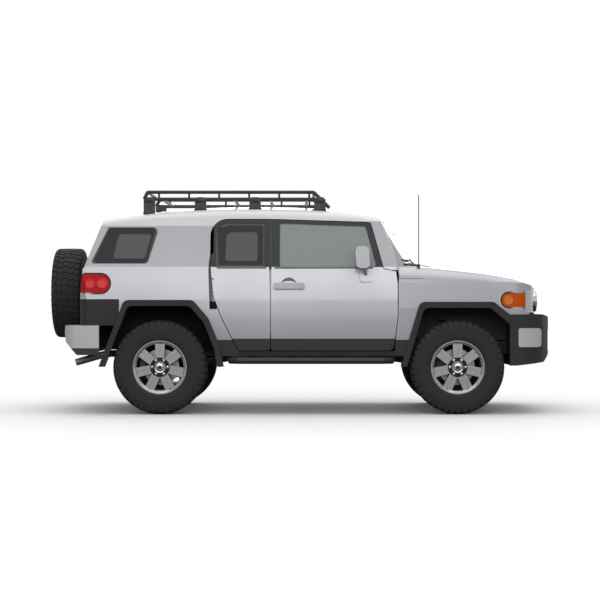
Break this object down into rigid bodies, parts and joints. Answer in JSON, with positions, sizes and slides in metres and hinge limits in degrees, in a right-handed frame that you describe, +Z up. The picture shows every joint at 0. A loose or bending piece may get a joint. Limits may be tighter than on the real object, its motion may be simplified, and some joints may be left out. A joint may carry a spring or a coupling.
{
  "type": "lifted off-road four-wheel-drive vehicle",
  "caption": "Lifted off-road four-wheel-drive car with roof rack, rock rails, tailgate spare and all-terrain tyres; doors, bonnet, tailgate, wheels and steering move.",
  "frame": {"origin": "on the ground under the middle of the vehicle's overall length, on its centre plane", "axes": "+X forward, +Y to the vehicle's left, +Z up"},
  "size_m": [4.666, 2.17, 2.038],
  "materials": {
    "body_paint": "silver metallic paint",
    "roof_paint": "white paint",
    "dark_trim": "grained dark plastic",
    "pale_trim": "silver painted plastic",
    "black_steel": "black powder coat",
    "chassis_steel": "black chassis paint",
    "clear_glass": "clear laminated glass",
    "dark_glass": "dark tinted glass",
    "lamp_clear": "clear lamp lens",
    "lamp_amber": "amber lens",
    "lamp_red": "red lens",
    "tyre_rubber": "black rubber",
    "rim_alloy": "painted cast alloy",
    "cast_metal": "cast iron",
    "exhaust_steel": "stained steel",
    "seat_cloth": "dark woven cloth",
    "cabin_plastic": "soft dark plastic",
    "tank_plastic": "moulded black plastic"
  },
  "bodies": {
    "vehicle": {"aerial": "black_steel", "arch_flares": "dark_trim", "body_floor": "body_paint", "bumper_inserts": "pale_trim", "corner_claddings": "dark_trim", "cowl": "dark_trim", "cross_members": "chassis_steel", "dashboard": "cabin_plastic", "driveline": "cast_metal", "exhaust": "exhaust_steel", "frame_rails": "chassis_steel", "front_bumper": "dark_trim", "front_suspension": "cast_metal", "front_wings": "body_paint", "fuel_tank": "tank_plastic", "grille": "pale_trim", "headlamps": "lamp_clear", "hitch_receiver": "chassis_steel", "inner_wings": "chassis_steel", "pillars": "body_paint", "powertrain": "cast_metal", "quarter_glass": "dark_glass", "quarter_panels": "body_paint", "rear_axle": "cast_metal", "rear_bumper": "pale_trim", "rear_suspension": "black_steel", "rock_rails": "black_steel", "roof_panel": "roof_paint", "roof_rack": "black_steel", "seats": "seat_cloth", "side_lamps": "lamp_amber", "sills": "dark_trim", "tail_lamps": "lamp_red", "windscreen": "clear_glass"},
    "front_door_left": {"front_door_left": "body_paint", "front_door_glass_left": "clear_glass", "mirror_left": "body_paint"},
    "rear_door_left": {"rear_door_left": "body_paint", "rear_door_glass_left": "dark_glass"},
    "knuckle_left": {"knuckle_left": "cast_metal"},
    "wheel_front_left": {"tyre_front_left": "tyre_rubber", "rim_front_left": "rim_alloy"},
    "wheel_rear_left": {"tyre_rear_left": "tyre_rubber", "rim_rear_left": "rim_alloy"},
    "front_door_right": {"front_door_right": "body_paint", "front_door_glass_right": "clear_glass", "mirror_right": "body_paint"},
    "rear_door_right": {"rear_door_right": "body_paint", "rear_door_glass_right": "dark_glass"},
    "knuckle_right": {"knuckle_right": "cast_metal"},
    "wheel_front_right": {"tyre_front_right": "tyre_rubber", "rim_front_right": "rim_alloy"},
    "wheel_rear_right": {"tyre_rear_right": "tyre_rubber", "rim_rear_right": "rim_alloy"},
    "tailgate": {"tailgate": "body_paint", "tailgate_glass": "dark_glass", "spare_tyre": "tyre_rubber", "spare_rim": "rim_alloy"},
    "bonnet": {"bonnet": "body_paint"},
    "steering_wheel": {"steering_wheel": "cabin_plastic"}
  },
  "joints": [
    {"name": "front_door_left_hinge", "type": "hinge", "parent": "vehicle", "child": "front_door_left", "pos_m": [0.832, 0.873, 0.95], "axis": [0, 0, -1], "range_deg": [0, 68]},
    {"name": "rear_door_left_hinge", "type": "hinge", "parent": "vehicle", "child": "rear_door_left", "pos_m": [-0.79, 0.873, 1.17], "axis": [0, 0, 1], "range_deg": [0, 85]},
    {"name": "steer_left", "type": "hinge", "parent": "vehicle", "child": "knuckle_left", "pos_m": [1.4185, 0.712, 0.424], "axis": [0, 0, 1], "range_deg": [-32, 32]},
    {"name": "wheel_front_left_spin", "type": "hinge", "parent": "knuckle_left", "child": "wheel_front_left", "pos_m": [1.4185, 0.8025, 0.424], "axis": [0, 1, 0], "continuous": true},
    {"name": "wheel_rear_left_spin", "type": "hinge", "parent": "vehicle", "child": "wheel_rear_left", "pos_m": [-1.2715, 0.8025, 0.424], "axis": [0, 1, 0], "continuous": true},
    {"name": "front_door_right_hinge", "type": "hinge", "parent": "vehicle", "child": "front_door_right", "pos_m": [0.832, -0.873, 0.95], "axis": [0, 0, 1], "range_deg": [0, 68]},
    {"name": "rear_door_right_hinge", "type": "hinge", "parent": "vehicle", "child": "rear_door_right", "pos_m": [-0.79, -0.873, 1.17], "axis": [0, 0, -1], "range_deg": [0, 85]},
    {"name": "steer_right", "type": "hinge", "parent": "vehicle", "child": "knuckle_right", "pos_m": [1.4185, -0.712, 0.424], "axis": [0, 0, 1], "range_deg": [-32, 32]},
    {"name": "wheel_front_right_spin", "type": "hinge", "parent": "knuckle_right", "child": "wheel_front_right", "pos_m": [1.4185, -0.8025, 0.424], "axis": [0, 1, 0], "continuous": true},
    {"name": "wheel_rear_right_spin", "type": "hinge", "parent": "vehicle", "child": "wheel_rear_right", "pos_m": [-1.2715, -0.8025, 0.424], "axis": [0, 1, 0], "continuous": true},
    {"name": "tailgate_hinge", "type": "hinge", "parent": "vehicle", "child": "tailgate", "pos_m": [-1.975, -0.659, 1.2], "axis": [0, 0, 1], "range_deg": [0, 90]},
    {"name": "bonnet_hinge", "type": "hinge", "parent": "vehicle", "child": "bonnet", "pos_m": [1.11, 0, 1.326], "axis": [0, -1, 0], "range_deg": [0, 55]},
    {"name": "steering_wheel_turn", "type": "hinge", "parent": "vehicle", "child": "steering_wheel", "pos_m": [0.41, 0.37, 1.165], "axis": [0.9135, 0, -0.4067], "range_deg": [-512, 512]}
  ],
  "couplings": [
    {"joint": "steer_right", "follows": "steer_left", "ratio": 1},
    {"joint": "steering_wheel_turn", "follows": "steer_left", "ratio": -16}
  ]
}
